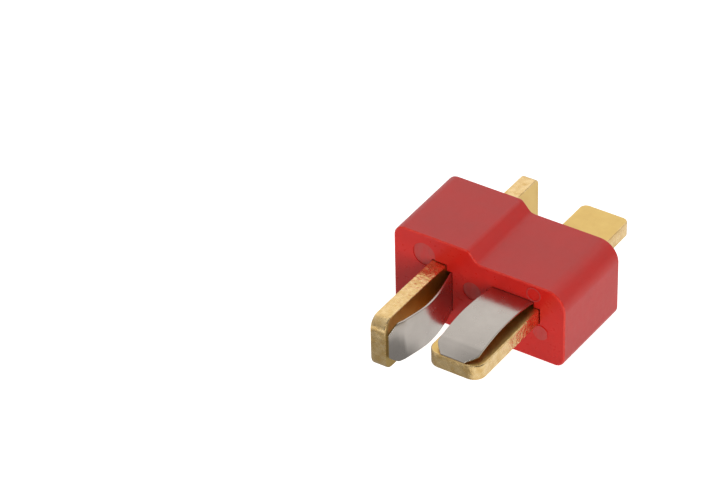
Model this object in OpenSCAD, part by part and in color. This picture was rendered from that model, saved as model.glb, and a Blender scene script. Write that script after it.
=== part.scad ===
// Two-pole battery lead connector, plug half. Two gold-plated strips pass through a moulded
// housing at right angles to each other, so that the plug fits its socket one way round only.
// X is the width, -Y is the mating side, +Y is the solder side, +Z is up. The origin is the
// middle of the housing's flat bottom. All sizes are in millimetres.

/* [Housing] */
// Width of the housing
body_w = 16; // [15:0.1:18]
// Depth of the housing, from the mating face to the solder face
body_d = 8.3; // [7.5:0.1:12]
// Height of the tall side, over the upright contact
tall_h = 8.1; // [7.9:0.1:9.5]
// Height of the low side, over the flat contact
low_h = 7.1; // [6.6:0.1:7.3]
// Where the slope between the two heights starts, from the middle of the housing
step_x = -1; // [-1.6:0.1:-0.4]
// Length of the slope, measured along the width
step_run = 0.9; // [0.6:0.1:1.6]
// Radius where the slope meets either top face
step_r = 0.35; // [0.25:0.05:0.5]
// Radius of the top corner on the tall side
tall_corner_r = 1; // [0.5:0.1:1.6]
// Radius of the top corner on the low side
low_corner_r = 1.8; // [0.8:0.1:2.2]
// Radius of the two bottom corners
base_corner_r = 0.9; // [0.4:0.1:1.2]
// Radius of the rim round the mating face and the solder face
rim_r = 0.2; // [0.1:0.05:0.3]
// How much each side leans in towards the mating face
draft = 0.08; // [0:0.02:0.2]

/* [Ejector marks] */
// Depth of the round marks that the ejector pins leave in the mating face
mark_depth = 0.06; // [0.02:0.01:0.2]
// Radius of the mark above the upright contact
large_mark_r = 1.05; // [0.7:0.05:1.2]
// Radius of the mark in the middle of the face
middle_mark_r = 0.85; // [0.5:0.05:1]
// Radius of the two marks beside the flat contact
small_mark_r = 0.7; // [0.4:0.05:0.75]
// How far the large mark cuts into the corner of the upright contact's slot
large_mark_bite = 0.35; // [0.2:0.05:0.6]
// Height of the large mark's middle above the upright blade's edge
large_mark_rise = 0.3; // [0.2:0.05:0.5]
// Position of the middle mark, from the middle of the housing
middle_mark_x = -0.6; // [-0.9:0.1:-0.3]
// How far the upper small mark's middle is in from the flat blade's edge
upper_mark_in = 0.45; // [0.2:0.05:0.7]
// How far the lower small mark's middle is out from the flat blade's edge
lower_mark_out = 0.15; // [0:0.05:0.4]
// Clearance between the upper small mark and the spring's pocket
upper_mark_gap = 0.06; // [0.03:0.01:0.1]
// Clearance between the lower small mark and the flat strip
lower_mark_gap = 0.3; // [0.15:0.05:0.5]

/* [Contacts] */
// Thickness of the contact strips
strip_t = 1.36; // [1:0.02:1.5]
// Width of the blades on the mating side
blade_w = 4.8; // [4.5:0.05:5]
// Width of the solder tabs, which are flush with one edge of the blade
tab_w = 4.35; // [3.6:0.05:4.5]
// How far the blades stand out of the mating face
blade_reach = 8.95; // [7:0.05:11]
// How far the solder tabs stand out of the solder face
tab_reach = 5.9; // [4:0.05:8]
// Radius of the blades' corners in plan
tip_r = 0.8; // [0.4:0.05:1.1]
// Radius of the solder tabs' corners in plan
tab_r = 0.6; // [0.3:0.05:1]
// Radius along the strips' stamped edges
strip_edge_r = 0.1; // [0.05:0.01:0.15]
// Depth of the retention notch in each edge of a strip
notch_depth = 0.5; // [0.3:0.05:0.7]
// Length of the retention notch along the strip
notch_len = 1.6; // [1:0.1:2.4]
// How far inside the solder face the blade narrows to the tab
shoulder_in = 1.5; // [0.5:0.1:2]
// Middle of the upright contact, from the middle of the housing
upright_x = -3.68; // [-4:0.01:-3.4]
// Height of the upright contact's middle
upright_z = 3.5; // [3.3:0.01:3.8]
// Middle of the flat contact, from the middle of the housing
flat_x = 3.2; // [3:0.01:3.5]
// Height of the flat contact's middle
flat_z = 4.26; // [4:0.01:4.5]

/* [Springs] */
// Thickness of the leaf springs
spring_t = 0.2; // [0.12:0.01:0.3]
// Width of the leaf springs
spring_w = 3.75; // [3:0.05:4.2]
// Height of the gap under the bow of the upright contact's spring
upright_bow = 1.05; // [0.6:0.05:1.3]
// Height of the gap under the bow of the flat contact's spring
flat_bow = 0.9; // [0.6:0.05:1.2]
// How far the upright contact's spring stops short of the blade's tip
upright_spring_back = 0.35; // [0:0.05:1]
// How far the flat contact's spring stops short of the blade's tip
flat_spring_back = 0.05; // [0:0.05:1]
// Height of the spring above the blade where it leaves the housing
spring_lift = 0.35; // [0.2:0.05:0.5]
// Length of the spring's flat foot at the tip
foot_len = 1.4; // [1:0.1:2]
// Height of the heel behind the foot, as a share of the bow
heel_share = 0.55; // [0.3:0.05:0.75]
// Width cut off each corner of the spring's tip
tip_cut_w = 0.8; // [0.3:0.05:1.1]
// Length of the cut at each corner of the spring's tip
tip_cut_len = 0.95; // [0.4:0.05:1.3]
// Length of the spring inside the housing that lies flat on the strip
seat_len = 2.6; // [1.5:0.1:4]
// Length of the spring inside the housing that rises from its seat to the mating face
rise_len = 1.6; // [1:0.1:2]

/* [Fits] */
// Clearance between a strip's faces and its slot
slot_gap = 0.05; // [0.02:0.01:0.1]
// Clearance between a strip's edges and its slot
slot_end_gap = 0.15; // [0.05:0.01:0.2]
// Clearance between a spring and its pocket
pocket_gap = 0.08; // [0.03:0.01:0.15]

/* [Hidden] */

arc_steps = 8; // chords in each rounded corner
rim_steps = 4; // chords across each rounded rim
bow_steps = 12; // chords in each stretch of a spring's bow
mark_fn = 64;
notch_r = 0.15; // small radius at every corner of a retention notch
through = 1; // how far a cutter runs past the face that it opens

face_y = -body_d / 2; // mating face
back_y = body_d / 2; // solder face
strip_y = [face_y - blade_reach, back_y + tab_reach]; // the strip's two ends
notch_y = [-notch_len / 2, notch_len / 2];
shoulder_y = back_y - shoulder_in; // where the blade narrows to the tab

seat_h = spring_t + pocket_gap; // height of a spring's seat over the strip
mouth_h = spring_lift + seat_h; // height of the pocket's mouth over the strip
mouth_slope = -0.25; // slopes of a spring at the mating face and at its heel
heel_slope = 0.2;

// Middle and radius of each ejector mark on the mating face, as [x, z, r]
blade_edge_x = flat_x + blade_w / 2;
MARKS = [
    [
        upright_x - strip_t / 2 - large_mark_r + large_mark_bite,
        upright_z + blade_w / 2 + large_mark_rise,
        large_mark_r
    ],
    [middle_mark_x, flat_z, middle_mark_r],
    [
        blade_edge_x - upper_mark_in,
        flat_z + strip_t / 2 + mouth_h + upper_mark_gap + small_mark_r,
        small_mark_r
    ],
    [
        blade_edge_x + lower_mark_out,
        flat_z - strip_t / 2 - lower_mark_gap - small_mark_r,
        small_mark_r
    ]
];

function unit(v) = v / norm(v);

// The arc that rounds corner p between its neighbours a and b: pairs of a point and its
// outward normal, for an outline that runs anticlockwise.
function rounded_corner(a, p, b, r) =
    let (
        u = unit(a - p),
        v = unit(b - p),
        half = acos(u * v) / 2,
        middle = p + unit(u + v) * r / sin(half),
        turn = sign(cross(p - a, b - p)),
        first = p + u * r / tan(half) - middle,
        start = atan2(first[1], first[0])
    )
    [for (i = [0:arc_steps])
        let (angle = start + turn * (180 - 2 * half) * i / arc_steps, n = [cos(angle), sin(angle)])
        [middle + r * n, turn * n]];

// An outline of [x, y, radius] corners with every corner rounded
function rounded_outline(corners) =
    let (count = len(corners), at = function(i) [corners[i % count][0], corners[i % count][1]])
    [for (i = [0:count - 1]) each rounded_corner(at(i + count - 1), at(i), at(i + 1), corners[i][2])];

// A prism along +Z whose two end faces have a rounded rim of radius rim. Its half width
// shrinks by lean from the first end to the second. The rim's last chords run on past both
// ends, which are then cut flat.
module rounded_prism(corners, depth, rim, lean = 0, half = 1) {
    outline = rounded_outline(corners);
    sides = len(outline);
    steps = [for (i = [0:rim_steps]) 90 * i / rim_steps];
    last = steps[rim_steps - 1];
    past = [rim * (1 + cos(last)), rim * (1 - sin(last))];
    rings = [
        [past[0], -past[1]],
        for (a = steps) [rim * (1 - sin(a)), rim * (1 - cos(a))],
        for (a = steps) [rim * (1 - cos(a)), depth - rim * (1 - sin(a))],
        [past[0], depth + past[1]]
    ];
    points = [for (ring = rings) for (at = outline)
        let (p = at[0] - ring[0] * at[1], narrow = 1 - lean / half * ring[1] / depth)
        [p[0] * narrow, p[1], ring[1]]];
    walls = [for (k = [0:len(rings) - 2]) for (i = [0:sides - 1])
        let (j = (i + 1) % sides)
        [k * sides + i, (k + 1) * sides + i, (k + 1) * sides + j, k * sides + j]];
    bottom = [for (i = [0:sides - 1]) i];
    top = [for (i = [sides - 1:-1:0]) (len(rings) - 1) * sides + i];
    reach = 2 * max([for (c = corners) norm([c[0], c[1]])]);
    intersection() {
        polyhedron(points, concat([bottom, top], walls));
        translate([-reach / 2, -reach / 2, 0]) cube([reach, reach, depth]);
    }
}

function bezier(a, b, c, d, t) =
    pow(1 - t, 3) * a + 3 * pow(1 - t, 2) * t * b + 3 * (1 - t) * t * t * c + pow(t, 3) * d;

// One stretch of a spring between two points where its slope is known, without its first point
function stretch(a, slope_a, b, slope_b) =
    let (third = (b[0] - a[0]) / 3)
    [for (i = [1:bow_steps])
        bezier(a, a + [third, third * slope_a], b - [third, third * slope_b], b, i / bow_steps)];

// A strip's own frame: its length along Y, its width along X, its middle plane at z = 0
module at_upright() {
    translate([upright_x, 0, upright_z]) rotate([0, 90, 0]) children();
}

module at_flat() {
    translate([flat_x, 0, flat_z]) children();
}

// Blade, retention notches and solder tab in one stamped strip
module contact_strip() {
    w = blade_w / 2;
    n = w - notch_depth;
    notch = [[w, notch_y[0]], [n, notch_y[0]], [n, notch_y[1]], [w, notch_y[1]]];
    outline = concat(
        [[w, strip_y[0], tip_r]],
        [for (p = notch) [p[0], p[1], notch_r]],
        [[w, strip_y[1], tab_r], [w - tab_w, strip_y[1], tab_r]],
        [[w - tab_w, shoulder_y, notch_r], [-w, shoulder_y, notch_r]],
        [for (i = [3:-1:0]) [-notch[i][0], notch[i][1], notch_r]],
        [[-w, strip_y[0], tip_r]]
    );
    translate([0, 0, -strip_t / 2])
        rounded_prism(outline, strip_t, strip_edge_r);
}

// The inner line of a bowed spring, from its end inside the housing to its tip, as
// [y, height over the strip]
function spring_line(bow, back) =
    let (
        seat = [face_y + rise_len, 0],
        mouth = [face_y, spring_lift],
        tip = [strip_y[0] + back, 0],
        heel = [tip[0] + foot_len, bow * heel_share],
        peak = [(face_y + tip[0]) / 2, bow]
    )
    concat(
        [seat + [seat_len, 0], seat],
        stretch(seat, 0, mouth, mouth_slope),
        stretch(mouth, mouth_slope, peak, 0),
        stretch(peak, 0, heel, heel_slope),
        [tip]
    );

// The same line moved out by the spring's thickness
function outer_line(line) =
    [for (i = [0:len(line) - 1])
        let (
            before = line[max(i - 1, 0)],
            after = line[min(i + 1, len(line) - 1)],
            d = unit(after - before)
        )
        line[i] + spring_t * [d[1], -d[0]]];

// A leaf spring on the face of its strip
module leaf_spring(bow, back) {
    line = spring_line(bow, back);
    outer = outer_line(line);
    tip_y = line[len(line) - 1][0];
    end_y = line[0][0];
    w = spring_w / 2;
    translate([0, 0, strip_t / 2])
        intersection() {
            rotate([90, 0, 90])
                linear_extrude(spring_w, center = true)
                    polygon(concat(line, [for (i = [len(outer) - 1:-1:0]) outer[i]]));
            translate([0, 0, -through])
                linear_extrude(bow + spring_t + 2 * through)
                    polygon([
                        [w, end_y],
                        [-w, end_y],
                        [-w, tip_y + tip_cut_len],
                        [tip_cut_w - w, tip_y],
                        [w - tip_cut_w, tip_y],
                        [w, tip_y + tip_cut_len]
                    ]);
        }
}

// Room for a strip: the housing keeps a key in each of its notches
module strip_slot() {
    w = blade_w + 2 * slot_end_gap;
    t = strip_t + 2 * slot_gap;
    key = notch_len - 2 * slot_gap;
    difference() {
        cube([w, body_d + 2 * through, t], center = true);
        for (side = [-1, 1])
            translate([side * w / 2, 0, 0])
                cube([2 * notch_depth, key, t + through], center = true);
    }
}

// Room for a spring: a shallow seat behind a deeper mouth
module spring_pocket() {
    w = spring_w + 2 * pocket_gap;
    translate([-w / 2, face_y - through, 0]) {
        cube([w, through + rise_len, strip_t / 2 + mouth_h]);
        cube([w, through + rise_len + seat_len + pocket_gap, strip_t / 2 + seat_h]);
    }
}

// The moulded block with its slots and pockets, before the ejector marks
module slotted_block() {
    half = body_w / 2;
    profile = [
        [-half, 0, base_corner_r],
        [half, 0, base_corner_r],
        [half, low_h, low_corner_r],
        [step_x + step_run, low_h, step_r],
        [step_x, tall_h, step_r],
        [-half, tall_h, tall_corner_r]
    ];
    difference() {
        translate([0, back_y, 0])
            rotate([90, 0, 0])
                rounded_prism(profile, body_d, rim_r, draft, half);
        at_upright() {
            strip_slot();
            spring_pocket();
        }
        at_flat() {
            strip_slot();
            spring_pocket();
        }
    }
}

module housing() {
    color([0.78, 0.16, 0.13])
        difference() {
            slotted_block();
            for (mark = MARKS)
                translate([mark[0], face_y + mark_depth, mark[1]])
                    rotate([90, 0, 0])
                        cylinder(h = mark_depth + through, r = mark[2], $fn = mark_fn);
        }
}

module upright_contact() {
    color([0.88, 0.71, 0.42]) at_upright() rotate([0, 180, 0]) contact_strip();
}

module flat_contact() {
    color([0.88, 0.71, 0.42]) at_flat() contact_strip();
}

module upright_spring() {
    color([0.75, 0.73, 0.7]) at_upright() leaf_spring(upright_bow, upright_spring_back);
}

module flat_spring() {
    color([0.75, 0.73, 0.7]) at_flat() leaf_spring(flat_bow, flat_spring_back);
}

housing();
upright_contact();
flat_contact();
upright_spring();
flat_spring();
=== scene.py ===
"""Looks of the battery lead connector plug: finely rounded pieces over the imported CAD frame.

Everything is in metres, in the frame's own axes: X is the width, -Y the mating side, +Z up.
"""
import math

import bmesh
import bpy
from mathutils import Matrix, Vector

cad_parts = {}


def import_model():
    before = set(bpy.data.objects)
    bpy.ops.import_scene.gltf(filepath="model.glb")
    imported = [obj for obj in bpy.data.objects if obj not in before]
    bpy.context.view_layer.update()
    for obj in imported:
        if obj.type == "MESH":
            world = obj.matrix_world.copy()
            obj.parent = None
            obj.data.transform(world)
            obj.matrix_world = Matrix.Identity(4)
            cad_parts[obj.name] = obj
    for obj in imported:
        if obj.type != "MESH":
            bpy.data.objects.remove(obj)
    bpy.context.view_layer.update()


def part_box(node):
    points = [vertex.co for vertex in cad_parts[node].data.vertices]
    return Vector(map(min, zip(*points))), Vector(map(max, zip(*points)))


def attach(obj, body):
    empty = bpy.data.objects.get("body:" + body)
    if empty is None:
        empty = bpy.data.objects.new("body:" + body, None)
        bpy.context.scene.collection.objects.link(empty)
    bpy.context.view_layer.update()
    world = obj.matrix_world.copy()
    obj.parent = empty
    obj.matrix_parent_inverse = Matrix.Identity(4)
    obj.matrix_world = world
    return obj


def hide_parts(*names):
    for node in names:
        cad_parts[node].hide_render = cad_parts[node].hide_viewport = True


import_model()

MM = 0.001

# Housing
LOW_H = 7.1 * MM
STEP_X = -1 * MM
STEP_RUN = 0.9 * MM
STEP_R = 0.6 * MM
TALL_CORNER_R = 1 * MM
LOW_CORNER_R = 1.8 * MM
BASE_CORNER_R = 0.9 * MM
RIM_R = 0.14 * MM
SLOT_EDGE_R = 0.03 * MM
SLOT_EDGE_ANGLE = 50  # degrees: a sharper edge than this is rounded
DRAFT = 0.08 * MM

# Ejector marks
MARK_DEPTH = 0.07 * MM
MARK_RING_W = 0.12 * MM
LARGE_MARK_R = 1.05 * MM
MIDDLE_MARK_R = 0.85 * MM
SMALL_MARK_R = 0.66 * MM
LARGE_MARK_BITE = 0.35 * MM
LARGE_MARK_RISE = 0.3 * MM
MIDDLE_MARK_X = -0.6 * MM
UPPER_MARK_IN = 0.5 * MM
LOWER_MARK_OUT = 0.15 * MM
UPPER_MARK_GAP = 0.06 * MM
LOWER_MARK_GAP = 0.17 * MM

# Contact strips
TAB_W = 4.35 * MM
TIP_R = 1.05 * MM
TAB_R = 0.6 * MM
STRIP_EDGE_R = 0.1 * MM
NOTCH_DEPTH = 0.5 * MM
NOTCH_LEN = 1.6 * MM
NOTCH_R = 0.15 * MM
SHOULDER_IN = 1.5 * MM

# Springs
SPRING_T = 0.2 * MM
SPRING_EDGE_R = 0.05 * MM
SPRING_LIFT = 0.35 * MM
FOOT_LEN = 1.4 * MM
HEEL_SHARE = 0.55
HEEL_BLEND = 0.07 * MM
TIP_CUT_W = 0.8 * MM
TIP_CUT_LEN = 0.95 * MM
TIP_CUT_POWER = 1.3  # over 1 rounds the cut into the leaf's side
RISE_LEN = 1.6 * MM
SEAT_LEN = 2.6 * MM
MOUTH_SLOPE = -0.25
HEEL_SLOPE = 0.2

# Fits
SLOT_GAP = 0.05 * MM
SLOT_END_GAP = 0.07 * MM
POCKET_GAP = 0.03 * MM
THROUGH = 1 * MM  # how far a cutter runs past the face it opens

# Fineness of curves, in straight steps, and the angle in degrees past which shading is sharp
HOUSING_CORNER_STEPS = 20
HOUSING_RIM_STEPS = 8
STRIP_CORNER_STEPS = 16
STRIP_EDGE_STEPS = 6
BOW_STEPS = 20
RISE_STEPS = 12
FOOT_STEPS = 12
HEEL_STEPS = 5
SECTION_STEPS = 4
SHARP_ANGLE = 40

# Material slots of the housing, in their order, and the side of a leaf that faces its strip
BLOCK_SLOT, MARK_SLOT, FACE_SLOT, RIM_SLOT = range(4)
INNER_SIDE = SECTION_STEPS

# Studio: a direction, the cosine where the patch starts, and its level
SKY_PATCHES = [
    ((-0.5, 0.65, 0.57), 0.5, 0.9),
    ((0.55, 0.70, 0.45), 0.6, 0.5),
    ((-0.42, -0.57, 0.70), 0.62, 0.45),
]
SKY_BASE = 0.09
LAMP_DISTANCE = 0.5
FLOOR_HALF = 2.0
FLOOR_GLOW = 0.92  # lifts the floor to white round the object's shadow

# Camera: where it stands round the housing's middle, and what it looks at
CAMERA_AZIMUTH = 31.41
CAMERA_ELEVATION = 36.67
CAMERA_DISTANCE = 279.96 * MM
CAMERA_ROUND = Vector((0, -0.15, 3.5)) * MM
LOOK_AT = Vector((-12.543, -2.168, 3.5)) * MM
CAMERA_ROLL = -1.516
LENS = 175


def corners_of(node):
    """The lowest and highest corner of a CAD node at rest."""
    low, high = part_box(node)
    return Vector(low), Vector(high)


BODY_LOW, BODY_HIGH = corners_of("housing")
FACE_Y, BACK_Y = BODY_LOW.y, BODY_HIGH.y
BODY_D = BACK_Y - FACE_Y
HALF_W = BODY_HIGH.x
TALL_H = BODY_HIGH.z
UPRIGHT_LOW, UPRIGHT_HIGH = corners_of("upright_contact")
FLAT_LOW, FLAT_HIGH = corners_of("flat_contact")
STRIP_Y = (FLAT_LOW.y, FLAT_HIGH.y)
STRIP_T = FLAT_HIGH.z - FLAT_LOW.z
BLADE_W = FLAT_HIGH.x - FLAT_LOW.x
UPRIGHT_MIDDLE = (UPRIGHT_LOW + UPRIGHT_HIGH) / 2
FLAT_MIDDLE = (FLAT_LOW + FLAT_HIGH) / 2
AT_UPRIGHT = Matrix.Translation((UPRIGHT_MIDDLE.x, 0, UPRIGHT_MIDDLE.z)) @ Matrix.Rotation(
    math.radians(90), 4, "Y"
)
AT_FLAT = Matrix.Translation((FLAT_MIDDLE.x, 0, FLAT_MIDDLE.z))


# ---------------------------------------------------------------- mesh helpers


def rounded_corner(before, corner, after, radius, steps):
    """Points and outward normals of the arc that rounds one corner of an anticlockwise outline."""
    u = (before - corner).normalized()
    v = (after - corner).normalized()
    half = math.acos(max(-1, min(1, u.dot(v)))) / 2
    middle = corner + (u + v).normalized() * radius / math.sin(half)
    into, out = corner - before, after - corner
    turn = math.copysign(1, into.x * out.y - into.y * out.x)
    first = corner + u * radius / math.tan(half) - middle
    start = math.atan2(first.y, first.x)
    made = []
    for i in range(steps + 1):
        angle = start + turn * (math.pi - 2 * half) * i / steps
        normal = Vector((math.cos(angle), math.sin(angle)))
        made.append((middle + radius * normal, turn * normal))
    return made


def rounded_outline(corners, steps):
    """An outline of (x, y, radius) corners, with every corner rounded."""
    points = [Vector(c[:2]) for c in corners]
    made = []
    for i, corner in enumerate(corners):
        after = points[(i + 1) % len(points)]
        made += rounded_corner(points[i - 1], points[i], after, corner[2], steps)
    return made


def rim_rings(depth, rim, steps):
    """How far in and how far along each ring of a prism with rounded rims lies."""
    angles = [math.radians(90) * i / steps for i in range(steps + 1)]
    near = [(rim * (1 - math.sin(a)), rim * (1 - math.cos(a))) for a in angles]
    far = [(rim * (1 - math.cos(a)), depth - rim * (1 - math.sin(a))) for a in angles]
    return near + far


def loft(rings):
    """Vertices and faces of a closed skin over rings of equally many points, with a cap at each end."""
    count = len(rings[0])
    verts = [p for ring in rings for p in ring]
    faces = []
    for k in range(len(rings) - 1):
        for i in range(count):
            j = (i + 1) % count
            faces.append([k * count + i, k * count + j, (k + 1) * count + j, (k + 1) * count + i])
    caps = [list(range(count))[::-1], [(len(rings) - 1) * count + i for i in range(count)]]
    return verts, faces + caps


def prism_rings(corners, depth, rim, corner_steps, rim_steps, lean=0, half=1):
    """Rings of a prism along +Z with rounded rims, whose half width shrinks by lean."""
    outline = rounded_outline(corners, corner_steps)
    made = []
    for inset, along in rim_rings(depth, rim, rim_steps):
        narrow = 1 - lean / half * along / depth
        ring = [p - inset * n for p, n in outline]
        made.append([Vector((p.x * narrow, p.y, along)) for p in ring])
    return made


def mesh_object(name, verts, faces, matrix=None):
    """A new object with its faces turned outwards."""
    mesh = bpy.data.meshes.new(name)
    mesh.from_pydata([tuple(v) for v in verts], [], faces)
    if matrix is not None:
        mesh.transform(matrix)
    made = bmesh.new()
    made.from_mesh(mesh)
    bmesh.ops.recalc_face_normals(made, faces=made.faces)
    made.to_mesh(mesh)
    made.free()
    thing = bpy.data.objects.new(name, mesh)
    bpy.context.scene.collection.objects.link(thing)
    return thing


def block(low, high, matrix=None):
    """A plain cutter block between two corners."""
    xs, ys, zs = zip(low, high)
    verts = [(x, y, z) for x in xs for y in ys for z in zs]
    faces = [[0, 1, 3, 2], [4, 6, 7, 5], [0, 4, 5, 1], [2, 3, 7, 6], [0, 2, 6, 4], [1, 5, 7, 3]]
    return mesh_object("cutter", verts, faces, matrix)


def disc(middle, radius, front, back, sides=96):
    """A round block along Y, between two places measured from the mating face."""
    rings = []
    for y in (FACE_Y + front, FACE_Y + back):
        turns = [2 * math.pi * i / sides for i in range(sides)]
        rings.append(
            [(middle[0] + radius * math.cos(a), y, middle[1] + radius * math.sin(a)) for a in turns]
        )
    return mesh_object("cutter", *loft(rings))


def apply_modifiers(thing):
    """Bakes an object's modifiers into its mesh."""
    bpy.context.view_layer.update()
    graph = bpy.context.evaluated_depsgraph_get()
    made = bpy.data.meshes.new_from_object(thing.evaluated_get(graph))
    thing.modifiers.clear()
    thing.data = made


def combine(thing, cutters, operation):
    """Takes cutters away from an object or adds them to it, and removes them."""
    for cutter in cutters:
        change = thing.modifiers.new("combine", "BOOLEAN")
        change.operation = operation
        change.solver = "EXACT"
        change.object = cutter
    apply_modifiers(thing)
    for cutter in cutters:
        bpy.data.objects.remove(cutter, do_unlink=True)


def smooth(thing, angle):
    """Smooth shading with sharp edges past an angle, and large flat faces kept flat."""
    mesh = thing.data
    mesh.polygons.foreach_set("use_smooth", [True] * len(mesh.polygons))
    mesh.set_sharp_from_angle(angle=math.radians(angle))
    weigh = thing.modifiers.new("weigh", "WEIGHTED_NORMAL")
    weigh.keep_sharp = True


def soften(thing, width, angle, material):
    """Rounds the edges that are sharper than an angle, and gives them a material's slot."""
    bevel = thing.modifiers.new("soften", "BEVEL")
    bevel.width = width
    bevel.segments = 2
    bevel.material = material
    bevel.limit_method = "ANGLE"
    bevel.angle_limit = math.radians(angle)
    bevel.harden_normals = False


# ------------------------------------------------------------------- materials


class Nodes:
    """Short calls for one material's node tree."""

    def __init__(self, name):
        self.material = bpy.data.materials.new(name)
        self.material.use_nodes = True
        self.tree = self.material.node_tree
        self.shader = self.tree.nodes["Principled BSDF"]

    def add(self, kind, **values):
        node = self.tree.nodes.new(kind)
        for key, value in values.items():
            if key in node.inputs:
                node.inputs[key].default_value = value
            else:
                setattr(node, key, value)
        return node

    def link(self, out, into):
        self.tree.links.new(out, into)

    def noise(self, scale, detail=4, roughness=0.55, stretch=(1, 1, 1)):
        """Noise in the object's own coordinates, in cells per millimetre."""
        place = self.add("ShaderNodeTexCoord")
        turn = self.add("ShaderNodeMapping")
        turn.inputs["Scale"].default_value = [s * scale / MM for s in stretch]
        self.link(place.outputs["Object"], turn.inputs["Vector"])
        noise = self.add("ShaderNodeTexNoise", Scale=1.0, Detail=detail, Roughness=roughness)
        self.link(turn.outputs["Vector"], noise.inputs["Vector"])
        return noise.outputs["Fac"]

    def spread(self, value, low, high, start=0.3, end=0.7):
        """Maps a value between start and end to low and high."""
        node = self.add("ShaderNodeMapRange")
        node.inputs["From Min"].default_value = start
        node.inputs["From Max"].default_value = end
        node.inputs["To Min"].default_value = low
        node.inputs["To Max"].default_value = high
        self.link(value, node.inputs["Value"])
        return node.outputs["Result"]

    def blend(self, value, first, second):
        """A colour between two, by a value."""
        node = self.add("ShaderNodeMix", data_type="RGBA")
        node.inputs["A"].default_value = (*first, 1)
        node.inputs["B"].default_value = (*second, 1)
        self.link(value, node.inputs["Factor"])
        return node.outputs["Result"]

    def bump(self, value, height, under=None):
        """Bump whose full height is given in millimetres."""
        node = self.add("ShaderNodeBump", Strength=1.0, Distance=height * MM)
        self.link(value, node.inputs["Height"])
        if under is not None:
            self.link(under, node.inputs["Normal"])
        return node.outputs["Normal"]


def nylon():
    """The moulded block: satin red, a little light passing through its edges."""
    n = Nodes("red_nylon")
    cloud = n.spread(n.noise(0.35, 3), 0, 1)
    colour = n.blend(cloud, (0.70, 0.018, 0.012), (0.64, 0.022, 0.015))
    n.link(colour, n.shader.inputs["Base Color"])
    n.link(n.spread(n.noise(2.5, 6), 0.32, 0.40), n.shader.inputs["Roughness"])
    fine = n.bump(n.noise(9, 3), 0.0008)
    n.link(n.bump(n.noise(0.8, 2), 0.015, fine), n.shader.inputs["Normal"])
    translucent(n)
    return n.material


def nylon_face():
    """The mating face: a cleaner, less reflective surface than the sides."""
    n = Nodes("red_nylon_face")
    cloud = n.spread(n.noise(0.45, 3), 0, 1)
    colour = n.blend(cloud, (0.72, 0.018, 0.012), (0.64, 0.018, 0.013))
    n.link(colour, n.shader.inputs["Base Color"])
    n.link(n.spread(n.noise(2.5, 5), 0.26, 0.34), n.shader.inputs["Roughness"])
    n.link(n.bump(n.noise(0.7, 2), 0.008), n.shader.inputs["Normal"])
    n.shader.inputs["Specular IOR Level"].default_value = 0.28
    translucent(n)
    return n.material


def painted_highlight_nylon():
    """The rim and the edges of slots and marks, polished and a little uneven, with a painted highlight:
    a brighter, more orange red in patches.
    """
    n = Nodes("red_nylon_painted_highlight")
    highlight_speck = n.spread(n.noise(3, 4, 0.6), 0, 1)
    colour = n.blend(highlight_speck, (0.84, 0.045, 0.022), (0.70, 0.022, 0.014))
    n.link(colour, n.shader.inputs["Base Color"])
    n.link(n.spread(n.noise(5, 4), 0.12, 0.26), n.shader.inputs["Roughness"])
    n.link(n.bump(n.noise(3, 4), 0.06), n.shader.inputs["Normal"])
    translucent(n)
    return n.material


def nylon_mark():
    """The ejector marks: the same nylon, paler and duller, with the pins' faint streaks."""
    n = Nodes("red_nylon_mark")
    streak = n.spread(n.noise(1.6, 4, stretch=(1, 1, 0.25)), 0, 1)
    colour = n.blend(streak, (0.60, 0.034, 0.030), (0.52, 0.055, 0.050))
    n.link(colour, n.shader.inputs["Base Color"])
    n.link(n.spread(n.noise(3, 4), 0.42, 0.55), n.shader.inputs["Roughness"])
    n.link(n.bump(n.noise(2.5, 4, stretch=(1, 1, 0.3)), 0.05), n.shader.inputs["Normal"])
    translucent(n)
    return n.material


def translucent(n):
    """Lets a little red light through a nylon surface."""
    n.shader.inputs["Subsurface Weight"].default_value = 0.25
    n.shader.inputs["Subsurface Radius"].default_value = (1.0, 0.2, 0.1)
    n.shader.inputs["Subsurface Scale"].default_value = 0.6 * MM
    n.shader.inputs["IOR"].default_value = 1.53


def gold_face():
    """The plated flat faces: satin, with faint rolling streaks along the strip."""
    n = Nodes("gold_face")
    patch = n.spread(n.noise(0.9, 4), 0, 1)
    n.link(n.blend(patch, (0.87, 0.61, 0.21), (0.82, 0.56, 0.19)), n.shader.inputs["Base Color"])
    n.link(n.spread(n.noise(1.5, 4), 0.36, 0.46), n.shader.inputs["Roughness"])
    n.link(n.bump(n.noise(3, 3, stretch=(1, 0.25, 1)), 0.002), n.shader.inputs["Normal"])
    n.shader.inputs["Metallic"].default_value = 1
    return n.material


def gold_edge():
    """The sheared edges: plated over the grain and pits that the press leaves."""
    n = Nodes("gold_edge")
    patch = n.spread(n.noise(1.7, 5, 0.6), 0, 1, 0.38, 0.62)
    n.link(n.blend(patch, (0.96, 0.70, 0.35), (0.80, 0.53, 0.21)), n.shader.inputs["Base Color"])
    n.link(n.spread(n.noise(4, 5), 0.20, 0.36), n.shader.inputs["Roughness"])
    pits = n.bump(n.noise(2.8, 2, 0.6), 0.035)
    n.link(n.bump(n.noise(1.2, 3), 0.10, pits), n.shader.inputs["Normal"])
    n.shader.inputs["Metallic"].default_value = 1
    return n.material


def spring_steel():
    """The leaf springs: smooth rolled steel whose tone and sheen vary a little."""
    n = Nodes("spring_steel")
    patch = n.spread(n.noise(0.5, 3), 0, 1)
    n.link(n.blend(patch, (0.55, 0.50, 0.45), (0.50, 0.455, 0.41)), n.shader.inputs["Base Color"])
    n.link(n.spread(n.noise(1.2, 3), 0.20, 0.28), n.shader.inputs["Roughness"])
    n.shader.inputs["Metallic"].default_value = 1
    return n.material


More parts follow.
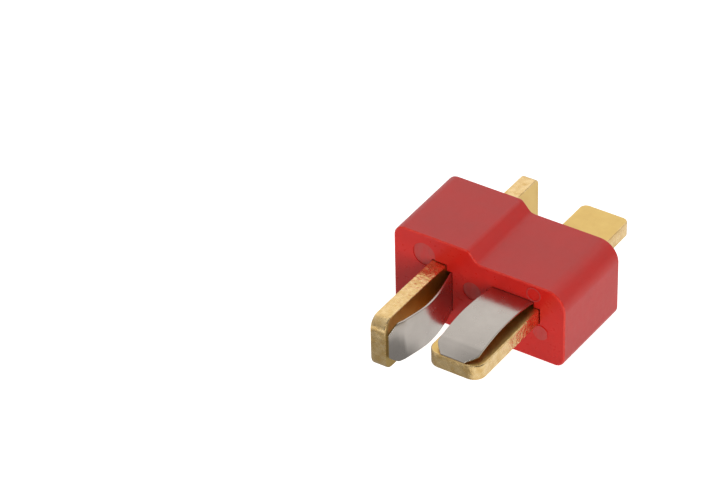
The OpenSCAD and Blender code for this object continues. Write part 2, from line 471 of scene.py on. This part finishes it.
def steel_painted_gold_reflection():
    """The leaves' inner faces: steel with the strip's gold reflection painted in as a gold tone."""
    n = Nodes("steel_painted_gold_reflection")
    patch = n.spread(n.noise(0.8, 3), 0, 1)
    n.link(n.blend(patch, (0.86, 0.50, 0.15), (0.80, 0.45, 0.13)), n.shader.inputs["Base Color"])
    n.link(n.spread(n.noise(1.5, 3), 0.40, 0.50), n.shader.inputs["Roughness"])
    n.shader.inputs["Metallic"].default_value = 1
    return n.material


NYLON = nylon()
NYLON_MARK = nylon_mark()
NYLON_FACE = nylon_face()
NYLON_PAINTED_HIGHLIGHT = painted_highlight_nylon()
GOLD_FACE = gold_face()
GOLD_EDGE = gold_edge()
STEEL = spring_steel()
STEEL_PAINTED_REFLECTION = steel_painted_gold_reflection()


# --------------------------------------------------------------------- housing


def slot_cutters(at):
    """Room for one strip: the housing keeps a key in each of its notches."""
    half = BLADE_W / 2 + SLOT_END_GAP
    thick = STRIP_T / 2 + SLOT_GAP
    key = NOTCH_LEN / 2 - SLOT_GAP
    inner = half - NOTCH_DEPTH
    return [
        block((-half, FACE_Y - THROUGH, -thick), (half, -key, thick), at),
        block((-inner, -key - THROUGH, -thick), (inner, key + THROUGH, thick), at),
        block((-half, key, -thick), (half, BACK_Y + THROUGH, thick), at),
    ]


def pocket_cutters(at, half_w):
    """Room for one spring: a shallow seat behind a deeper mouth."""
    half = half_w + POCKET_GAP
    seat = STRIP_T / 2 + SPRING_T + POCKET_GAP
    front = FACE_Y - THROUGH
    return [
        block((-half, front, 0), (half, FACE_Y + RISE_LEN, seat + SPRING_LIFT), at),
        block((-half, front, 0), (half, FACE_Y + RISE_LEN + SEAT_LEN + POCKET_GAP, seat), at),
    ]


def ejector_marks():
    """The round marks that the ejector pins leave: two sunk, one proud and one a proud ring."""
    mouth = STRIP_T / 2 + SPRING_LIFT + SPRING_T + POCKET_GAP
    edge = FLAT_MIDDLE.x + BLADE_W / 2
    large_x = UPRIGHT_MIDDLE.x - STRIP_T / 2 - LARGE_MARK_R + LARGE_MARK_BITE
    large_z = UPRIGHT_MIDDLE.z + BLADE_W / 2 + LARGE_MARK_RISE
    upper_z = FLAT_MIDDLE.z + mouth + UPPER_MARK_GAP + SMALL_MARK_R
    lower_z = FLAT_MIDDLE.z - STRIP_T / 2 - LOWER_MARK_GAP - SMALL_MARK_R
    sunk = [
        disc((large_x, large_z), LARGE_MARK_R, -THROUGH, MARK_DEPTH),
        disc((MIDDLE_MARK_X, FLAT_MIDDLE.z), MIDDLE_MARK_R, -THROUGH, MARK_DEPTH),
    ]
    proud = [
        disc((edge - UPPER_MARK_IN, upper_z), SMALL_MARK_R, -MARK_DEPTH, MARK_DEPTH),
        disc((edge + LOWER_MARK_OUT, lower_z), SMALL_MARK_R, -MARK_DEPTH, MARK_DEPTH),
    ]
    inside = disc((edge - UPPER_MARK_IN, upper_z), SMALL_MARK_R - MARK_RING_W, -THROUGH, 0)
    return sunk, proud, inside


def housing(spring_half):
    """The stepped block, with its slots, spring pockets and ejector marks."""
    corners = [
        (-HALF_W, 0, BASE_CORNER_R),
        (HALF_W, 0, BASE_CORNER_R),
        (HALF_W, LOW_H, LOW_CORNER_R),
        (STEP_X + STEP_RUN, LOW_H, STEP_R),
        (STEP_X, TALL_H, STEP_R),
        (-HALF_W, TALL_H, TALL_CORNER_R),
    ]
    steps = (HOUSING_CORNER_STEPS, HOUSING_RIM_STEPS)
    rings = prism_rings(corners, BODY_D, RIM_R, *steps, DRAFT, HALF_W)
    lie_down = Matrix.Translation((0, BACK_Y, 0)) @ Matrix.Rotation(math.radians(90), 4, "X")
    body = mesh_object("housing_moulding", *loft(rings), lie_down)
    sunk, proud, inside = ejector_marks()
    cutters = list(sunk)
    for at in (AT_UPRIGHT, AT_FLAT):
        cutters += slot_cutters(at) + pocket_cutters(at, spring_half)
    combine(body, cutters, "DIFFERENCE")
    combine(body, proud, "UNION")
    combine(body, [inside], "DIFFERENCE")
    body.data.materials.clear()
    body.data.materials.append(NYLON)
    for material in (NYLON_MARK, NYLON_FACE, NYLON_PAINTED_HIGHLIGHT):
        body.data.materials.append(material)
    # The rim faces, and the bevelled edges below, take the nylon with a painted highlight in its
    # colour.
    for face in body.data.polygons:
        face.material_index = housing_material(face)
    soften(body, SLOT_EDGE_R, SLOT_EDGE_ANGLE, RIM_SLOT)
    smooth(body, SHARP_ANGLE)
    return body


def housing_material(face):
    """Which material slot a housing face takes, by its place and the way it looks."""
    off_face = abs(face.center.y - FACE_Y)
    if face.normal.y < -0.99:
        if off_face < MARK_DEPTH / 10:
            return FACE_SLOT
        return MARK_SLOT if abs(off_face - MARK_DEPTH) < MARK_DEPTH / 10 else BLOCK_SLOT
    return RIM_SLOT if face.normal.y < -0.1 and off_face < RIM_R else BLOCK_SLOT


# -------------------------------------------------------------------- contacts


def strip_corners():
    """The outline of a stamped strip: blade, retention notches and solder tab."""
    w = BLADE_W / 2
    n = w - NOTCH_DEPTH
    y = NOTCH_LEN / 2
    notch = [(w, -y), (n, -y), (n, y), (w, y)]
    shoulder = BACK_Y - SHOULDER_IN
    return (
        [(w, STRIP_Y[0], TIP_R)]
        + [(*p, NOTCH_R) for p in notch]
        + [(w, STRIP_Y[1], TAB_R), (w - TAB_W, STRIP_Y[1], TAB_R)]
        + [(w - TAB_W, shoulder, NOTCH_R), (-w, shoulder, NOTCH_R)]
        + [(-x, v, NOTCH_R) for x, v in reversed(notch)]
        + [(-w, STRIP_Y[0], TIP_R)]
    )


def contact(name, matrix):
    """One stamped strip, with flat faces and sheared edges in their own materials."""
    steps = (STRIP_CORNER_STEPS, STRIP_EDGE_STEPS)
    rings = prism_rings(strip_corners(), STRIP_T, STRIP_EDGE_R, *steps)
    centred = matrix @ Matrix.Translation((0, 0, -STRIP_T / 2))
    strip = mesh_object(name, *loft(rings), centred)
    strip.data.materials.append(GOLD_FACE)
    strip.data.materials.append(GOLD_EDGE)
    for face in strip.data.polygons:
        face.material_index = 0 if len(face.vertices) > 4 else 1
    smooth(strip, SHARP_ANGLE)
    return strip


# --------------------------------------------------------------------- springs


def bezier(a, b, c, d, t):
    """The point at t of a cubic curve with four control points."""
    s = 1 - t
    return s**3 * a + 3 * s * s * t * b + 3 * s * t * t * c + t**3 * d


def stretch(a, slope_a, b, slope_b, steps):
    """One stretch of a spring between two points where its slope is known."""
    third = (b.x - a.x) / 3
    one = a + Vector((third, third * slope_a))
    two = b - Vector((third, third * slope_b))
    return [bezier(a, one, two, b, i / steps) for i in range(1, steps + 1)]


def spring_line(tip_y, bow):
    """The inner line of a bowed spring from its end in the housing to its tip, as (y, height)."""
    seat = Vector((FACE_Y + RISE_LEN, 0))
    mouth = Vector((FACE_Y, SPRING_LIFT))
    tip = Vector((tip_y, 0))
    heel = tip + Vector((FOOT_LEN, bow * HEEL_SHARE))
    peak = Vector(((FACE_Y + tip_y) / 2, bow))
    toe = (tip - heel).normalized()
    down = stretch(peak, 0, heel, HEEL_SLOPE, BOW_STEPS)
    bend = [p for p in down if (p - heel).length > HEEL_BLEND]
    knee = heel + toe * HEEL_BLEND
    shares = [i / HEEL_STEPS for i in range(1, HEEL_STEPS + 1)]
    turn = [bend[-1].lerp(heel, t).lerp(heel.lerp(knee, t), t) for t in shares]
    foot = [knee.lerp(tip, i / FOOT_STEPS) for i in range(1, FOOT_STEPS + 1)]
    seated = [seat + Vector((SEAT_LEN, 0)), seat + Vector((SEAT_LEN / 2, 0)), seat]
    rise = stretch(seat, 0, mouth, MOUTH_SLOPE, RISE_STEPS)
    climb = stretch(mouth, MOUTH_SLOPE, peak, 0, BOW_STEPS)
    return seated + rise + climb + bend + turn + foot


def section(half, low, high, edge):
    """A rounded rectangle across a spring: pairs of a place across and a height."""
    corners = [(-half, low, edge), (half, low, edge), (half, high, edge), (-half, high, edge)]
    return [p for p, _ in rounded_outline(corners, SECTION_STEPS)]


def spring(name, node, at, thick_axis):
    """A leaf spring on the outer face of its strip."""
    low, high = corners_of(node)
    wide_axis = 2 if thick_axis == 0 else 0
    half = (high[wide_axis] - low[wide_axis]) / 2
    bow = high[thick_axis] - low[thick_axis] - SPRING_T
    line = spring_line(low.y, bow)
    rings = []
    for i, p in enumerate(line):
        ahead = line[min(i + 1, len(line) - 1)] - line[max(i - 1, 0)]
        up = Vector((ahead.y, -ahead.x)).normalized()
        from_tip = max(0, p.x - low.y)
        cut_w = TIP_CUT_W * max(0, 1 - from_tip / TIP_CUT_LEN) ** TIP_CUT_POWER
        ring = section(half - cut_w, 0, SPRING_T, SPRING_EDGE_R)
        rings.append([Vector((q.x, p.x + up.x * q.y, p.y + up.y * q.y)) for q in ring])
    leaf = mesh_object(name, *loft(rings), at @ Matrix.Translation((0, 0, STRIP_T / 2)))
    leaf.data.materials.append(STEEL)
    leaf.data.materials.append(STEEL_PAINTED_REFLECTION)
    count = len(rings[0])
    # The side that faces the strip takes the steel with the strip's gold reflection painted into its
    # colour.
    for face in leaf.data.polygons[: count * (len(rings) - 1)]:
        place = face.index % count
        face.material_index = 1 if place == INNER_SIDE else 0
    smooth(leaf, SHARP_ANGLE)
    return leaf, half


# ----------------------------------------------------------------------- stage

SHADE_MIDDLE = Vector((-2.5, -16.5, 0)) * MM  # middle of the floor's dim patch in reflections
SHADE_REACH = (7 * MM, 9 * MM)
SHADE_LEVEL = 0.33
FLOOR_LEVEL = 0.88


def floor():
    """A pale floor: white to the camera but for a soft shadow, and in reflections dimmer in
    front of the plug than round it."""
    n = Nodes("pale_floor")
    n.shader.inputs["Base Color"].default_value = (0.8, 0.8, 0.8, 1)
    n.shader.inputs["Roughness"].default_value = 0.9
    n.shader.inputs["Specular IOR Level"].default_value = 0
    path = n.add("ShaderNodeLightPath")
    seen = n.add("ShaderNodeMath", operation="MAXIMUM")
    n.link(path.outputs["Is Camera Ray"], seen.inputs[0])
    n.link(path.outputs["Is Transmission Ray"], seen.inputs[1])
    level = n.add("ShaderNodeMath", operation="MULTIPLY")
    level.inputs[1].default_value = FLOOR_GLOW
    n.link(seen.outputs[0], level.inputs[0])
    glow = n.add("ShaderNodeEmission")
    n.link(level.outputs[0], glow.inputs["Strength"])
    lit = n.add("ShaderNodeAddShader")
    n.link(n.shader.outputs["BSDF"], lit.inputs[0])
    n.link(glow.outputs["Emission"], lit.inputs[1])

    place = n.add("ShaderNodeTexCoord")
    away = n.add("ShaderNodeVectorMath", operation="DISTANCE")
    away.inputs[1].default_value = SHADE_MIDDLE
    n.link(place.outputs["Object"], away.inputs[0])
    shade = n.spread(away.outputs["Value"], SHADE_LEVEL, FLOOR_LEVEL, *SHADE_REACH)
    mirrored = n.add("ShaderNodeEmission")
    n.link(shade, mirrored.inputs["Strength"])
    either = n.add("ShaderNodeMixShader")
    n.link(path.outputs["Is Glossy Ray"], either.inputs[0])
    n.link(lit.outputs["Shader"], either.inputs[1])
    n.link(mirrored.outputs["Emission"], either.inputs[2])
    n.link(either.outputs["Shader"], n.tree.nodes["Material Output"].inputs["Surface"])

    side = FLOOR_HALF
    corners = [(-side, -side), (side, -side), (side, side), (-side, side)]
    ground = mesh_object("floor", [(x, y, 0) for x, y in corners], [[0, 1, 2, 3]])
    ground.data.materials.append(n.material)


def sky_patch(tree, toward, start, level):
    """A soft round patch of light in the world: its level added round a direction."""
    place = tree.nodes.new("ShaderNodeTexCoord")
    near = tree.nodes.new("ShaderNodeVectorMath")
    near.operation = "DOT_PRODUCT"
    near.inputs[1].default_value = Vector(toward).normalized()
    tree.links.new(place.outputs["Generated"], near.inputs[0])
    fall = tree.nodes.new("ShaderNodeMapRange")
    fall.interpolation_type = "SMOOTHSTEP"
    fall.inputs["From Min"].default_value = start
    fall.inputs["From Max"].default_value = 1.0
    fall.inputs["To Min"].default_value = 0.0
    fall.inputs["To Max"].default_value = level
    tree.links.new(near.outputs["Value"], fall.inputs["Value"])
    return fall.outputs["Result"]


def world():
    """A pale studio: a large soft light behind on the left, weaker ones behind on the right and
    in front on the left, and white to the camera."""
    sky = bpy.data.worlds.new("studio")
    bpy.context.scene.world = sky
    sky.use_nodes = True
    tree = sky.node_tree
    back = tree.nodes["Background"]
    back.inputs["Color"].default_value = (1, 1, 1, 1)
    level = sky_patch(tree, *SKY_PATCHES[0])
    for patch in SKY_PATCHES[1:]:
        both = tree.nodes.new("ShaderNodeMath")
        both.operation = "ADD"
        tree.links.new(level, both.inputs[0])
        tree.links.new(sky_patch(tree, *patch), both.inputs[1])
        level = both.outputs[0]
    dim = tree.nodes.new("ShaderNodeMath")
    dim.operation = "ADD"
    dim.inputs[1].default_value = SKY_BASE
    tree.links.new(level, dim.inputs[0])
    path = tree.nodes.new("ShaderNodeLightPath")
    shown = tree.nodes.new("ShaderNodeMath")
    shown.operation = "MAXIMUM"
    tree.links.new(path.outputs["Is Camera Ray"], shown.inputs[0])
    tree.links.new(path.outputs["Is Transmission Ray"], shown.inputs[1])
    pick = tree.nodes.new("ShaderNodeMix")
    pick.inputs["B"].default_value = 1.0
    tree.links.new(shown.outputs[0], pick.inputs["Factor"])
    tree.links.new(dim.outputs[0], pick.inputs["A"])
    tree.links.new(pick.outputs["Result"], back.inputs["Strength"])


def lamp(name, azimuth, elevation, size, power, mirrored):
    """A square area lamp aimed at the housing's middle; azimuth 0 is the mating side."""
    data = bpy.data.lights.new(name, "AREA")
    data.size = size
    data.energy = power
    thing = bpy.data.objects.new(name, data)
    bpy.context.scene.collection.objects.link(thing)
    toward = direction(azimuth, elevation)
    thing.location = CAMERA_ROUND + toward * LAMP_DISTANCE
    thing.rotation_mode = "QUATERNION"
    thing.rotation_quaternion = (-toward).to_track_quat("-Z", "Y")
    thing.visible_glossy = mirrored


def direction(azimuth, elevation):
    """The unit vector from the object towards an azimuth and an elevation in degrees."""
    a, e = math.radians(azimuth), math.radians(elevation)
    return Vector((math.sin(a) * math.cos(e), -math.cos(a) * math.cos(e), math.sin(e)))


def camera():
    """The camera of the photograph: where it stands, what it looks at and how it leans."""
    data = bpy.data.cameras.new("camera")
    data.lens = LENS
    data.sensor_width = 36
    data.clip_start = 0.01
    thing = bpy.data.objects.new("camera", data)
    bpy.context.scene.collection.objects.link(thing)
    thing.location = CAMERA_ROUND + direction(CAMERA_AZIMUTH, CAMERA_ELEVATION) * CAMERA_DISTANCE
    ahead = (LOOK_AT - thing.location).normalized()
    right = ahead.cross(Vector((0, 0, 1))).normalized()
    up = right.cross(ahead)
    level = Matrix((right, up, -ahead)).transposed()
    thing.rotation_mode = "QUATERNION"
    thing.rotation_quaternion = (
        level @ Matrix.Rotation(math.radians(CAMERA_ROLL), 3, "Z")
    ).to_quaternion()
    bpy.context.scene.camera = thing


def finish_piece(piece, slot, *nodes):
    """Ties a piece to the one body and hides the nodes it stands in for; slot is not used."""
    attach(piece, "root")
    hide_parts(*nodes)


def build():
    """Makes the five pieces, one for each CAD node."""
    upright_spring, half = spring("upright_leaf", "upright_spring", AT_UPRIGHT, 0)
    flat_spring, _ = spring("flat_leaf", "flat_spring", AT_FLAT, 2)
    turned = AT_UPRIGHT @ Matrix.Rotation(math.radians(180), 4, "Y")
    finish_piece(housing(half), "housing_nylon", "housing")
    finish_piece(contact("upright_strip", turned), "gold_plate", "upright_contact")
    finish_piece(contact("flat_strip", AT_FLAT), "gold_plate", "flat_contact")
    finish_piece(upright_spring, "spring_steel", "upright_spring")
    finish_piece(flat_spring, "spring_steel", "flat_spring")


camera()
world()
floor()
lamp("front_key", azimuth=36, elevation=12, size=0.2, power=1.18, mirrored=False)
lamp("glint", azimuth=38, elevation=26, size=0.1, power=0.22, mirrored=True)
build()
bpy.context.scene.view_settings.view_transform = "Standard"

bpy.context.view_layer.update()
